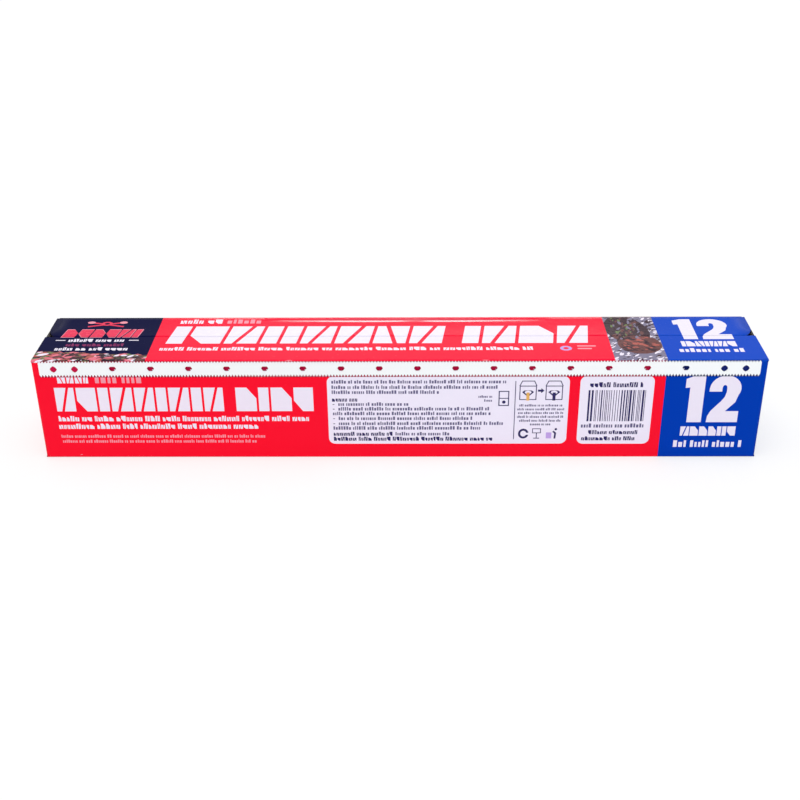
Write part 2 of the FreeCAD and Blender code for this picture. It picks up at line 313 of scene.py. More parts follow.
FRONT_LEGS = [LEDGE - CREASE, HEIGHT - 2 * CREASE, REAR - BOARD - FRONT - 2 * CREASE, GLUE_LAP - CREASE]
FRONT_FOLD = Fold((SEAM, HEIGHT), (-1, 0), (0, -1), FRONT_LEGS)
FACE_RUN = FRONT_FOLD.leg_start(1)
FLOOR_RUN = FRONT_FOLD.leg_start(2)
SHEET_RUN = FRONT_FOLD.leg_start(3) + FRONT_LEGS[3]
FACE_END = FLOOR_RUN - CREASE_RUN
FACE_HALF = HALF - CREASE
END_LEGS = [FACE_HALF, REAR - FLAP_EDGE - FRONT - CREASE]
END_FOLD = Fold((0, FRONT), (1, 0), (0, 1), END_LEGS)
END_RUN = END_FOLD.leg_start(1)
FLAP_REACH = END_RUN + END_LEGS[1]

# Rubbed spots on the folds: place along the carton, distance along the front sheet and half length.
RUBBED_HALF_WIDTH = 0.17
RUBBED = [(-147.0, FACE_END + 0.75, 0.8), (-144.4, FACE_END + 0.8, 0.5), (-142.7, FACE_END + 0.75, 0.4)]
RUBBED += [(-139.4, FACE_END - 0.7, 0.6), (-45.9, FACE_RUN - 0.95, 1.6), (36.6, FACE_RUN - 0.95, 1.7)]


def face_run(z):
    """Distance along the front sheet of a height on the front."""
    return FACE_RUN + HEIGHT - CREASE - z


def top_run(y):
    """Distance along the front sheet of a place on the ledge."""
    return SEAM - y


# Flat shapes.

def rectangle(x0, x1, y0, y1):
    """An upright rectangle."""
    return [(x0, y0), (x1, y0), (x1, y1), (x0, y1)]


def rounded(x0, x1, y0, y1, radius, steps=3):
    """A rectangle with round corners."""
    points = []
    corners = ((x1 - radius, y1 - radius), (x0 + radius, y1 - radius))
    corners += ((x0 + radius, y0 + radius), (x1 - radius, y0 + radius))
    for quarter, (x, y) in enumerate(corners):
        for i in range(steps + 1):
            turn = math.pi / 2 * (quarter + i / steps)
            points.append((x + radius * math.cos(turn), y + radius * math.sin(turn)))
    return points


def oval(x, y, half_x, half_y, turn=0.0, sides=10):
    """An ellipse, turned by an angle in degrees."""
    cos, sin = math.cos(math.radians(turn)), math.sin(math.radians(turn))
    points = []
    for i in range(sides):
        a = math.tau * i / sides
        u, v = half_x * math.cos(a), half_y * math.sin(a)
        points.append((x + u * cos - v * sin, y + u * sin + v * cos))
    return points


def mirrored(right):
    """The right half of an outline and its mirror image, as one loop."""
    return right + [(-x, y) for x, y in right[::-1]]


def leaf(x, y, half_x, half_y, turn):
    """A pointed oval."""
    cos, sin = math.cos(math.radians(turn)), math.sin(math.radians(turn))
    points = []
    for u, v in ((1, 0), (0.45, 0.8), (-0.35, 0.9), (-1, 0), (-0.35, -0.9), (0.45, -0.8)):
        points.append((x + half_x * u * cos - half_y * v * sin, y + half_x * u * sin + half_y * v * cos))
    return points


def stroke(points, width):
    """A line of some width through points, with mitred corners."""
    points = [Vector(p) for p in points]
    left, right = [], []
    for i, point in enumerate(points):
        before = (point - points[i - 1]).normalized() if i else None
        after = (points[i + 1] - point).normalized() if i < len(points) - 1 else None
        way = ((before or after) + (after or before)).normalized()
        side = Vector((-way.y, way.x))
        along = after or before
        reach = width / 2 / max(0.4, side.dot(Vector((-along.y, along.x))))
        left.append(point + side * reach)
        right.append(point - side * reach)
    return [tuple(p) for p in left + right[::-1]]


def cut_block(x0, x1, y0, y1, kind, lean=0.0):
    """A heavy block, whole, parted by a slanting slit or with one corner off, as a list of outlines."""
    w, h = x1 - x0, y1 - y0
    low, high = {"slash": (0.32, 0.68), "backslash": (0.68, 0.32)}.get(kind, (0.5, 0.5))
    slit = 0.07 * w
    if kind in ("slash", "backslash"):
        foot, head = x0 + low * w, x0 + high * w
        outlines = [[(x0, y0), (foot - slit, y0), (head - slit, y1), (x0, y1)]]
        outlines.append([(foot + slit, y0), (x1, y0), (x1, y1), (head + slit, y1)])
    elif kind == "top_corner":
        outlines = [[(x0, y0), (x1, y0), (x1, y1 - 0.45 * h), (x1 - 0.45 * w, y1), (x0, y1)]]
    elif kind == "low_corner":
        outlines = [[(x0 + 0.45 * w, y0), (x1, y0), (x1, y1), (x0, y1), (x0, y0 + 0.45 * h)]]
    else:
        outlines = [rectangle(x0, x1, y0, y1)]
    return [[(x + lean * (y - y0), y) for x, y in outline] for outline in outlines]


BLOCK_KINDS = ("slash", "backslash", "top_corner", "low_corner", "slash")


def row_of_blocks(x0, x1, y0, y1, groups, ink, seed, lean=0.0):
    """Heavy blocks in groups, broad and narrow, from one end to the other."""
    rng = random.Random(seed)
    widths = [[rng.choice((0.55, 0.95, 1.0, 1.05)) for _ in range(count)] for count in groups]
    pitch = (x1 - x0) / (sum(sum(group) for group in widths) + 0.45 * (len(groups) - 1))
    shapes = []
    x = x0
    for group in widths:
        for width in group:
            kind = rng.choice(BLOCK_KINDS) if width > 0.7 else "whole"
            for outline in cut_block(x, x + (width - 0.1) * pitch, y0, y1, kind, lean):
                shapes.append((outline, ink))
            x += width * pitch
        x += 0.45 * pitch
    return shapes


def line_of_print(x0, x1, y, height, ink, seed, heavy=False):
    """A line of small print as short blocks of uneven height, in groups like words."""
    rng = random.Random(seed)
    shapes = []
    x = x0
    left_in_group = rng.randint(3, 8)
    while x < x1 - 0.5 * height:
        width = height * rng.choice((0.45, 0.65, 0.75) if heavy else (0.3, 0.4, 0.5))
        top = y + height / 2 if rng.random() < 0.3 else y + height * 0.25
        bottom = y - height / 2
        end = min(x + width, x1)
        kind = rng.choice(BLOCK_KINDS) if heavy else "whole"
        for outline in cut_block(x, end, bottom, top, kind):
            shapes.append((outline, ink))
        x = end + height * (0.14 if heavy else 0.19)
        left_in_group -= 1
        if left_in_group == 0:
            x += height * 0.35
            left_in_group = rng.randint(2, 8)
    return shapes


def lines_of_print(*rows):
    """Several lines of small print, each from a row with what line_of_print takes."""
    return [shape for row in rows for shape in line_of_print(*row)]


def figure_one(x0, x1, y0, y1):
    """The figure 1: a broad stem with a short flag."""
    w, h = x1 - x0, y1 - y0
    stem = x0 + 0.24 * w
    outline = [(stem, y0), (x1, y0), (x1, y1), (x0 + 0.45 * w, y1), (x0, y1 - 0.07 * h)]
    return outline + [(x0, y1 - 0.26 * h), (stem, y1 - 0.25 * h)]


def figure_two(x0, x1, y0, y1):
    """The figure 2 as one outline: round the outer bow to the foot, then back up round the inner bow."""
    shape = [(0, 0.66)]
    for degrees in range(180, -40, -15):
        turn = math.radians(degrees)
        shape.append((0.5 + 0.5 * math.cos(turn), 0.72 + 0.28 * math.sin(turn)))
    shape += [(0.86, 0.43), (0.72, 0.34), (0.57, 0.24), (1, 0.24), (1, 0)]
    shape += [(0, 0), (0.02, 0.13), (0.1, 0.24), (0.24, 0.34), (0.4, 0.45), (0.51, 0.55), (0.55, 0.65)]
    for degrees in range(0, 200, 20):
        turn = math.radians(degrees)
        shape.append((0.475 + 0.075 * math.cos(turn), 0.735 + 0.065 * math.sin(turn)))
    shape.append((0.4, 0.66))
    return [(x0 + (x1 - x0) * u, y0 + (y1 - y0) * v) for u, v in shape]


def number_twelve(x0, x1, y0, y1, ink):
    """The figures 1 and 2, side by side."""
    w = x1 - x0
    return [(figure_one(x0, x0 + 0.345 * w, y0, y1), ink), (figure_two(x0 + 0.435 * w, x1, y0, y1), ink)]


def scatter(x0, x1, y0, y1, count, inks, sizes, turn, seed):
    """Leaves strewn over an area, in several colours."""
    rng = random.Random(seed)
    shapes = []
    for _ in range(count):
        long = rng.uniform(*sizes)
        wide = long * rng.uniform(0.25, 0.5)
        x, y = rng.uniform(x0, x1), rng.uniform(y0, y1)
        shapes.append((leaf(x, y, long, wide, turn + rng.uniform(-35, 35)), rng.choice(inks)))
    return shapes


# Print.

def top_print():
    """Print of the top, ledge and lid together, in x and y."""
    edge = FRONT - 1.0
    back = REAR + 1.0
    shapes = [(rectangle(STRIP_START - 1, STRIP_END + 1, edge, back), "leaf_grey")]
    pale = ("leaf_pale", "leaf_dark", "leaf_pale", "leaf_grey", "leaf_pale", "leaf_dark")
    shapes += scatter(STRIP_START, STRIP_END, edge, back, 320, pale, (0.6, 1.9), 40, 1)
    dark = ("leaf_dark", "leaf_dark", "leaf_brown", "leaf_grey", "leaf_green", "leaf_brown")
    shapes.append((oval(100, 7.5, 9.5, 14.5, 12, 18), "leaf_dark"))
    shapes.append((oval(103.5, -7, 9.5, 9, -20, 18), "leaf_brown"))
    shapes += scatter(93.5, 106.5, -2, 20, 110, dark, (0.7, 2.2), 75, 2)
    warm = ("leaf_dark", "leaf_rust", "leaf_brown", "leaf_rust", "leaf_dark")
    shapes += scatter(96.5, 110.5, -13.5, 0, 90, warm, (0.7, 2.1), -30, 3)
    band = ("leaf_rose", "leaf_rust", "leaf_dark", "leaf_pale")
    band += ("leaf_rose", "leaf_dark", "leaf_green", "leaf_brown")
    shapes.append((rectangle(-HALF - 1, NAVY_END, edge, -9), "leaf_dark"))
    shapes += scatter(-HALF, NAVY_END, edge, -12.5, 220, band, (1.0, 3.0), 12, 4)
    ragged = [(-HALF - 1, -13.2)]
    rng = random.Random(5)
    steps = 24
    for i in range(steps + 1):
        t = i / steps
        ragged.append((-HALF + (NAVY_END + HALF) * t, -12.6 - 3.4 * t + rng.uniform(-0.7, 0.7)))
    ragged += [(NAVY_END + 1, -16), (NAVY_END + 1, back), (-HALF - 1, back)]
    shapes.append((ragged, "navy"))
    # The top's red and blue fields take the lighter copies of the front's inks: painted sheen.
    shapes.append((rectangle(NAVY_END, STRIP_START, edge, back), "red_top"))
    shapes.append((rectangle(STRIP_END, HALF + 1, edge, back), "blue_top"))
    shapes += row_of_blocks(-101, 83, -5.4, 12.2, (9, 4), "white", 6, 0.12)
    shapes += lines_of_print(
        (-102.5, 60, -10.5, 3.2, "white", 7, True),
        (-98, -78, 17.2, 4.2, "white", 8, True),
        (-77, -61.5, 17.2, 4.0, "pink", 9),
    )
    shapes += [
        (oval(71.5, -10.6, 2.6, 2.3), "lilac"),
        (oval(71.5, -10.6, 1.2, 1.1), "red_top"),
        (rounded(76.4, 84.5, -9.0, -7.9, 0.4), "pink"),
        (rounded(76.4, 82.5, -11.5, -10.4, 0.4), "pink"),
    ]
    shapes += navy_print()
    shapes += number_twelve(121.5, 145, -2, 18.5, "white")
    shapes += row_of_blocks(121.4, 145.2, -9, -4, (7,), "white", 10)
    shapes += line_of_print(119.4, 148.3, -12.6, 3.6, "white", 11)
    return shapes


def navy_print():
    """Title block of the navy field: crossed bars, heavy blocks and three smaller lines."""
    shapes = []
    middle = -130.8
    for side in (-1, 1):
        shapes.append((stroke([(middle - side * 8, 12.2), (middle + side * 7, 16.4)], 1.1), "title"))
        shapes.append((oval(middle + side * 7.2, 16.4, 1.8, 1.2), "pink"))
    shapes.append((oval(middle, 15.2, 2.6, 2.0), "title"))
    shapes.append((oval(middle, 15.2, 1.2, 0.9), "navy"))
    shapes += row_of_blocks(-148.2, -113.6, 0.9, 9.4, (6,), "pink", 12, 0.14)
    shapes += row_of_blocks(-147.9, -113.9, 1.3, 9.0, (6,), "title", 12, 0.14)
    shapes += line_of_print(-143.8, -118.9, -2, 2.9, "white", 13, True)
    shapes.append((rectangle(-149.5, -145.2, -2.3, -1.6), "white"))
    shapes.append((rectangle(-117.5, -113.2, -2.3, -1.6), "white"))
    return shapes + lines_of_print(
        (-143.9, -118.8, -6.5, 2.7, "maroon", 14, True),
        (-147.7, -116.3, -10.4, 3.0, "white", 15, True),
    )


def front_print():
    """Print of the front, in x and z."""
    shapes = lines_of_print(
        (-145, -129.2, 39.2, 4.5, "white", 20, True),
        (-128.9, -107.9, 39.1, 4.2, "pink", 21),
    )
    shapes += row_of_blocks(-147, -35.5, 23.3, 34.8, (9, 4), "white", 22)
    shapes += lines_of_print(
        (-147, -38, 19.7, 2.6, "white", 23, True),
        (-147.3, -59.4, 15.9, 2.6, "white", 24, True),
        (-147, -57.6, 10.9, 1.5, "pink", 25),
        (-146.7, -62.1, 8.4, 1.5, "pink", 26),
    )
    shapes += number_twelve(121.6, 145.2, 17.6, 40.2, "white")
    shapes += row_of_blocks(121.4, 145.5, 10.9, 15.5, (7,), "white", 27)
    shapes += line_of_print(119, 149.8, 6.9, 3.3, "white", 28)
    return shapes + instruction_label() + bar_label()


def instruction_label():
    """Pale panel: lines of small print on the left, pictures of a box and its tab on the right."""
    return [(rounded(-30.4, 72.5, 7, 40.1, 2.8, 5), "label")] + instruction_text() + tab_pictures()


def instruction_text():
    """The panel's small print. The lines that start further in have a dash before them."""
    shapes = []
    inset = -25.9
    lines = ((37.5, -28.5, 46.0), (34.9, -28.5, 43.2), (32.5, -28.5, 17.8))
    lines += ((26.7, inset, 4.5), (24.4, inset, 39.7), (22.1, -28.3, 39.4))
    lines += ((19.7, inset, 32.1), (17.2, inset, 45.7), (14.9, -28.3, 36.2))
    for i, (z, x0, x1) in enumerate(lines):
        shapes += line_of_print(x0, x1, z, 1.7, "fine_text", 40 + i)
        if x0 == inset:
            shapes.append((rectangle(-28.3, -27.5, z - 0.35, z), "text"))
    return shapes + lines_of_print(
        (-28.5, -17.7, 28.9, 2.0, "text", 60, True),
        (-28.3, -2.5, 12.0, 2.0, "text", 61, True),
        (-1.5, 22.6, 12.0, 1.7, "fine_text", 62),
        (-28.3, 41.0, 9.5, 2.0, "text", 63, True),
        (34.0, 40.5, 30.3, 1.2, "fine_text", 64),
        (36.5, 40.5, 28.4, 1.2, "fine_text", 65),
    )


def tab_pictures():
    """Line drawings: a frame, two boxes with an arrow between them over small print, and three signs."""
    shapes = outlined(42.6, 47.1, 25.7, 33.0, 0.45, "text", "label")
    shapes += [
        (rectangle(42.6, 47.1, 29.2, 29.6), "text"),
        (oval(44.9, 27.6, 0.8, 0.8, 0, 8), "text"),
        (rectangle(49.5, 49.85, 9.2, 37.7), "text"),
    ]
    shapes += box_picture(51.4, "ochre") + box_picture(62.5, "text")
    arrow = [(59.2, 32.6), (60.6, 32.6), (60.6, 31.9), (62.0, 33.1)]
    arrow += [(60.6, 34.3), (60.6, 33.6), (59.2, 33.6)]
    shapes.append((arrow, "text"))
    rows = ((26, 9.4), (24.1, 10.2), (22.3, 9.8), (20.4, 10.2), (18.5, 9.2), (16.7, 4.5))
    for i, (z, half) in enumerate(rows):
        shapes += line_of_print(61 - half, 61 + half, z, 1.15, "fine_text", 70 + i)
    shapes += [
        (oval(53.8, 12, 2.3, 2.5, 0, 16), "text"),
        (oval(53.8, 12, 1.3, 1.45, 0, 12), "label"),
        (rectangle(54.6, 56.2, 11.4, 12.4), "label"),
    ]
    shapes += outlined(57.6, 61.4, 12.2, 14.6, 0.35, "text", "label")
    return shapes + [
        (rectangle(59.3, 59.7, 9.8, 12.3), "text"),
        (rectangle(58.2, 60.8, 9.5, 9.9), "text"),
        (rectangle(63.6, 66.0, 9.6, 12.6), "lilac"),
        (stroke([(67.4, 9.5), (67.6, 12.2), (66.6, 13.2)], 0.8), "text"),
        (oval(67.8, 14.2, 0.6, 0.6, 0, 8), "text"),
    ]


def outlined(x0, x1, y0, y1, line, ink, inside):
    """A frame of line width around a plain middle."""
    outer = rectangle(x0, x1, y0, y1)
    return [(outer, ink), (rectangle(x0 + line, x1 - line, y0 + line, y1 - line), inside)]


def box_picture(x, tab_ink):
    """The end of a box with its tab, as a line drawing 7.3 mm wide."""
    roof = [(x, 35.3), (x + 1.1, 37.7), (x + 6.2, 37.7), (x + 7.3, 35.3)]
    opening = [(x + 1.1, 32.4), (x + 3.65, 30.0), (x + 6.2, 32.4), (x + 5.2, 33.2), (x + 2.1, 33.2)]
    shapes = [(stroke(roof, 0.4), "text")]
    shapes += outlined(x, x + 7.3, 28.6, 35.5, 0.4, "text", "label")
    shapes.append((opening, "text"))
    shapes.append((oval(x + 3.65, 32.3, 1.5, 0.8, 0, 8), "label"))
    shapes.append((rectangle(x + 3.0, x + 4.3, 28.3, 32.2), tab_ink))
    return shapes


def bar_label():
    """Pale panel with upright bars of random width and plain lines round them."""
    shapes = [(rounded(77, 108.3, 6.9, 40.1, 2.8, 5), "label")]
    shapes += line_of_print(81.1, 104.6, 35.9, 2.4, "text", 80, True)
    rng = random.Random(81)
    x = 80.7
    while x < 105.3:
        width = rng.choice((0.28, 0.28, 0.55, 0.83))
        shapes.append((rectangle(x, min(x + width, 105.7), 18.1, 33.3), "text"))
        x += width + rng.choice((0.3, 0.3, 0.55, 0.8))
    return shapes + lines_of_print(
        (78.5, 106.1, 16, 2.0, "fine_text", 82),
        (81.8, 103, 12.7, 2.0, "text", 83, True),
        (79, 102.4, 9.6, 2.0, "text", 84, True),
    )


# Board sheets.

def ccw(loop):
    """The same loop, running anticlockwise."""
    area = 0.0
    for i, (x, y) in enumerate(loop):
        x1, y1 = loop[(i + 1) % len(loop)]
        area += x * y1 - x1 * y
    return list(loop) if area > 0 else list(loop)[::-1]


def add_object(name, data):
    """An object of the scene that shows the given data."""
    made = bpy.data.objects.new(name, data)
    bpy.context.collection.objects.link(made)
    return made


def new_object(name, points, faces, inks, face_inks, smooth):
    """A mesh object from points in millimetres, with one material index a face."""
    mesh = bpy.data.meshes.new(name)
    mesh.from_pydata([Vector(p) * MM for p in points], [], faces)
    for ink in inks:
        mesh.materials.append(ink)
    mesh.polygons.foreach_set("material_index", face_inks)
    mesh.polygons.foreach_set("use_smooth", smooth)
    mesh.validate()
    mesh.update()
    return add_object(name, mesh)


def board_sheet(name, outline, base, place, prints=(), holes=(), lines=(), curved=None):
    """One closed piece of board: a flat outline cut up along its print, then put in place.

    place(u, v, depth) gives the point in space; base is the ink of what no shape covers."""
    points, edges, loops = [], [], []
    for loop in [outline, *holes, *[shape for shape, _ in prints]]:
        first = len(points)
        points.extend(Vector(p) for p in ccw(loop))
        loops.append(list(range(first, len(points))))
    for a, b in lines:
        edges.append((len(points), len(points) + 1))
        points.extend((Vector(a), Vector(b)))
    flat, _, triangles, _, _, origins = delaunay_2d_cdt(points, edges, loops, 0, 1e-4)
    names = [base] + [ink for _, ink in prints]
    used = sorted(set(names))
    kept, kept_inks = [], []
    for triangle, origin in zip(triangles, origins):
        if 0 in origin and not any(0 < i <= len(holes) for i in origin):
            kept.append(tuple(triangle))
            kept_inks.append(used.index(names[max(0, max(origin) - len(holes))]))
    order = sorted({i for triangle in kept for i in triangle})
    index = {old: new for new, old in enumerate(order)}
    kept = [tuple(index[i] for i in triangle) for triangle in kept]
    count = len(order)
    outer = [place(flat[i].x, flat[i].y, 0.0) for i in order]
    inner = [place(flat[i].x, flat[i].y, BOARD) for i in order]
    score = 0.0
    for a, b, c in kept[:: max(1, len(kept) // 200)]:
        normal = (outer[b] - outer[a]).cross(outer[c] - outer[a])
        score += normal.dot(outer[a] - inner[a])
    if score < 0:
        kept = [(a, c, b) for a, b, c in kept]
    smooth = []
    for triangle in kept:
        middle = sum((flat[order[i]] for i in triangle), Vector((0, 0))) / 3
        smooth.append(bool(curved and curved(middle.x, middle.y)))
    faces = kept + [(c + count, b + count, a + count) for a, b, c in kept]
    face_inks = kept_inks + [len(used)] * len(kept)
    smooth = smooth * 2
    ways = dict.fromkeys(way for a, b, c in kept for way in ((a, b), (b, c), (c, a)))
    for start, end in ways:
        if (end, start) not in ways:
            faces.append((start, start + count, end + count, end))
            face_inks.append(len(used) + 1)
            smooth.append(False)
    inks = [INKS[n] for n in used] + [BOARD_INSIDE, BOARD_EDGE_PAINTED_SHADE]
    return new_object(name, outer + inner, faces, inks, face_inks, smooth)


def board_ink(x):
    """The plain ink of the front at a place along it."""
    return "red" if x < BLUE_START else "blue"


def dish(x, z):
    """How far the card inside a pronged hole is pressed in, and nothing elsewhere."""
    for place in PRONG_HOLES:
        off = math.hypot((x - place) / DISH_HALF[0], (z - DISH_Z) / DISH_HALF[1])
        if off < 1:
            return DISH_DEPTH * min(1.0, (1 - off) / (1 - DISH_FLOOR))
    return 0.0


def on_flap(x, run):
    """True past the front's upright creases, but not on the ends of the ledge and of the bottom crease."""
    slack = 0.01
    beside_face = FACE_RUN - slack < run < FACE_END + slack
    return abs(x) > FACE_HALF + 1e-3 and (abs(x) > FLAP_START or beside_face)


def place_front(x, run, depth):
    """A point of the front sheet: ledge, front, floor, glue lap and the two outer end flaps."""
    side = 1 if x > 0 else -1
    z = HEIGHT - CREASE - (run - FACE_RUN)
    if on_flap(x, run):
        across, y = END_FOLD.at(abs(x), depth)
        return Vector((side * across, y, z))
    y, z = FRONT_FOLD.at(run, depth)
    if FACE_RUN < run < FACE_END:
        y += dish(x, z)
    return Vector((x, y, z))


def front_outline():
    """The front sheet's outline, in x and run."""
    top_edge = face_run(FLAP_TOP)
    low_edge = face_run(FLAP_EDGE)
    flap = END_RUN + FLAP_RELIEF
    right = [(HALF, 0), (HALF, FACE_RUN - LEDGE_SLIT), (FACE_HALF, FACE_RUN - LEDGE_SLIT)]
    right += [(FACE_HALF, FACE_RUN), (HALF + FLAP_SHOULDER, FACE_RUN), (flap, top_edge)]
    right += [(FLAP_REACH, top_edge), (FLAP_REACH, low_edge), (flap, low_edge), (flap, FACE_END)]
    right += [(FACE_HALF, FACE_END), (FACE_HALF, FACE_END + FLOOR_SLIT), (HALF, FACE_END + FLOOR_SLIT)]
    return mirrored(right + [(HALF, FLOOR_RUN), (FACE_HALF, FLOOR_RUN), (FACE_HALF, SHEET_RUN)])


def tab_cuts(side):
    """The four strokes of the kerf round a push-in tab, in x and run."""
    middle = END_RUN - FRONT - CREASE
    top = ROLL_Z + TAB_HALF_LENGTH
    tip_z = ROLL_Z - TAB_HALF_LENGTH + TAB_TIP
    lean = math.atan2(TAB_HALF - TAB_TIP, top - tip_z)
    reach = TAB_TIP + TAB_KERF / 2
    corner = (TAB_HALF + TAB_KERF / 2, top)
    touch = (reach * math.cos(lean), tip_z - reach * math.sin(lean))

    def on_side(z):
        """The point of the tab's straight side at a height."""
        return corner[0] + (touch[0] - corner[0]) * ((top - z) / (top - touch[1])), z

    lower = [on_side(ROLL_Z), touch]
    steps = 7
    for i in range(1, steps + 1):
        angle = -lean + (lean + TAB_TIP_NICK - math.pi / 2) * i / steps
        lower.append((reach * math.cos(angle), tip_z + reach * math.sin(angle)))
    cuts = []
    for mirror in (-1, 1):
        for line in ([corner, on_side(ROLL_Z + TAB_NICK)], lower):
            placed = [(side * (middle + mirror * y), face_run(z)) for y, z in line]
            cuts.append(stroke(placed, TAB_KERF))
    return cuts


def hole_cuts():
    """Slits at the flat tops of the cutter strip's holes, where its prongs go through."""
    top, bottom = face_run(PRONG_Z + SLIT_HEIGHT - SLIT_DROP), face_run(PRONG_Z - SLIT_DROP)
    return [rectangle(x - SLIT_HALF, x + SLIT_HALF, top, bottom) for x in PRONG_HOLES]


def painted_shade_and_flecks():
    """Painted shade: darker board under the cutter strip's teeth and inside its holes, and a torn pale fleck
    in most pronged holes.
    """
    shapes = []
    # Bands of painted shade: on the crease behind the upper teeth, and under the lower teeth.
    bands = ((FACE_RUN - 0.45 * CREASE_RUN, FACE_RUN + 0.8), [face_run(z) for z in TEETH_SHADE])
    for top, bottom in bands:
        shapes.append((rectangle(-BLADE_HALF, BLUE_START, top, bottom), "red_shade"))
        shapes.append((rectangle(BLUE_START, BLADE_HALF, top, bottom), "blue_shade"))
    # The plain holes show board painted darker: painted shade.
    for x in PLAIN_HOLES:
        shapes.append((oval(x, face_run(HOLE_Z), PLAIN_HOLE, PLAIN_HOLE, 0, 12), board_ink(x) + "_hole"))
    # Each pronged hole's pressed card gets a ring of painted shade round a paler but still darkened middle,
    # also painted shade.
    for x in PRONG_HOLES:
        for share, ending in ((1.35, "_shade"), (0.8, "_hole")):
            dark = oval(x, face_run(DISH_Z), DISH_HALF[0] * share, DISH_HALF[1] * share, 0, 14)
            shapes.append((dark, board_ink(x) + ending))
        torn = [(-0.75, -0.82), (0.75, -0.78), (0.75, -1.4), (-0.75, -1.4)]
        shapes.append(([(x + u, face_run(DISH_Z + v)) for u, v in torn], "label"))
        side = 1 if x < FLECK_TURN else -1
        size = abs(x) / LAST_HOLE
        if size > 0.25:
            fleck = [(0.75 - 0.4 * size, -0.32), (1.4, -0.08), (1.4, -0.6), (0.7, -0.45 - 0.2 * size)]
            shapes.append(([(x + side * u, face_run(DISH_Z + v)) for u, v in fleck], "label"))
    return shapes


def make_front_sheet():
    """Ledge, front, floor and glue lap with the outer end flaps, printed on the outside."""
    front_start = FACE_RUN - 0.1 * CREASE_RUN
    below = SHEET_RUN + 1
    prints = [([(x, top_run(y)) for x, y in shape], ink) for shape, ink in top_print()]
    prints.append((rectangle(-PAST_SHEET, PAST_SHEET, front_start, below), "red"))
    prints.append((rectangle(BLUE_START, PAST_SHEET, front_start, below), "blue"))
    prints.append((rectangle(FLAP_START, PAST_SHEET, FACE_RUN - 1, below), "blue"))
    prints += [([(x, face_run(z)) for x, z in shape], ink) for shape, ink in front_print()]
    prints += painted_shade_and_flecks()
    prints += [(leaf(x, run, half, RUBBED_HALF_WIDTH, 0), "pink") for x, run, half in RUBBED]
    lines = [((-HALF, run), (HALF, run)) for run in FRONT_FOLD.crease_runs()]
    for x in END_FOLD.crease_runs():
        lines += [((side * x, FACE_RUN), (side * x, FACE_END)) for side in (-1, 1)]
    for x in PRONG_HOLES:
        for share in (1, DISH_FLOOR):
            loop = oval(x, face_run(DISH_Z), share * DISH_HALF[0], share * DISH_HALF[1], 0, 12)
            lines += [(loop[i - 1], loop[i]) for i in range(12)]

    def curved(x, run):
        return END_FOLD.creased(abs(x)) if on_flap(x, run) else FRONT_FOLD.creased(run)

    holes = tab_cuts(-1) + tab_cuts(1) + hole_cuts()
    return board_sheet("front_sheet", front_outline(), "red", place_front, prints, holes, lines, curved)


REAR_HALF = HALF - BOARD
REAR_FLAP_Y = FRONT + BOARD + CREASE
REAR_LEGS = [REAR - CREASE - REAR_FLAP_Y, 2 * (REAR_HALF - CREASE), REAR - CREASE - REAR_FLAP_Y]
REAR_FOLD = Fold((-REAR_HALF, REAR_FLAP_Y), (0, 1), (1, 0), REAR_LEGS)
REAR_MIDDLE = REAR_FOLD.leg_start(1) + REAR_LEGS[1] / 2
REAR_TOP = HINGE_Z - LID_CREASE_START
REAR_SHOULDER = 0.3


def make_rear_sheet():
    """Rear panel with the middle end flaps, which have a round window each."""
    half = REAR_LEGS[1] / 2
    flap_top = FLAP_TOP - BOARD
    right = [(half, REAR_TOP), (half + REAR_SHOULDER, flap_top)]
    right += [(REAR_MIDDLE, flap_top), (REAR_MIDDLE, FLAP_EDGE)]
    window_x = half + CREASE_RUN + REAR - CREASE
    windows = [oval(side * window_x, ROLL_Z, TAB_WINDOW, TAB_WINDOW, 0, 48) for side in (-1, 1)]
    prints = [(rectangle(BLUE_START, REAR_MIDDLE + 1, -1, HEIGHT), "blue")]
    creases = [run - REAR_MIDDLE for run in REAR_FOLD.crease_runs()]
    lines = [((x, FLAP_EDGE), (x, flap_top)) for x in creases]

    def place(x, z, depth):
        across, y = REAR_FOLD.at(x + REAR_MIDDLE, depth)
        return Vector((across, y, z))

    def curved(x, z):
        return REAR_FOLD.creased(x + REAR_MIDDLE)

    return board_sheet("rear_panel", mirrored(right), "red", place, prints, windows, lines, curved)


def make_dust_flap(side):
    """The inner end flap, folded up from the floor."""
    x = HALF - 2 * BOARD
    front, rear = FRONT + 2 * BOARD, REAR - 3 * BOARD
    outline = [(front, DUST_FOOT), (rear, DUST_FOOT)]
    outline += [(rear - DUST_TAPER, DUST_HEIGHT), (front + DUST_TAPER, DUST_HEIGHT)]

    def place(y, z, depth):
        return Vector((side * (x - depth), y, z))

    name = "dust_flap_right" if side > 0 else "dust_flap_left"
    return board_sheet(name, outline, "blue" if side > 0 else "red", place)


def lid_height(x, y):
    """The lid's outer face: it sags a little between its free edge and its fold."""
    along = x / LID_HALF
    across = (y - LID_EDGE) / (LID_CREASE_END - LID_EDGE)
    sag = LID_SAG * math.sin(math.pi * min(1, max(0, across))) * (1 - 0.4 * along * along)
    return HEIGHT - sag - furrow(x, y)


def furrow(x, y):
    """Depth of the long shallow furrow beside the lid's fold, pinched between its two stretches."""
    reach = abs(x - FURROW_X) / FURROW_HALF
    if reach >= 1 or not FURROW_START < y < FURROW_END:
        return 0.0
    pinch = math.exp(-(((x - PINCH_X) / PINCH_REACH) ** 2))
    swell = math.sqrt(1 - reach * reach) * (1 - PINCH_SHARE * pinch)
    t = (y - FURROW_START) / (FURROW_END - FURROW_START)
    dip = t / FURROW_LOW if t < FURROW_LOW else (1 - t) / (1 - FURROW_LOW)
    return FURROW_DEPTH * swell * dip * dip * (3 - 2 * dip)


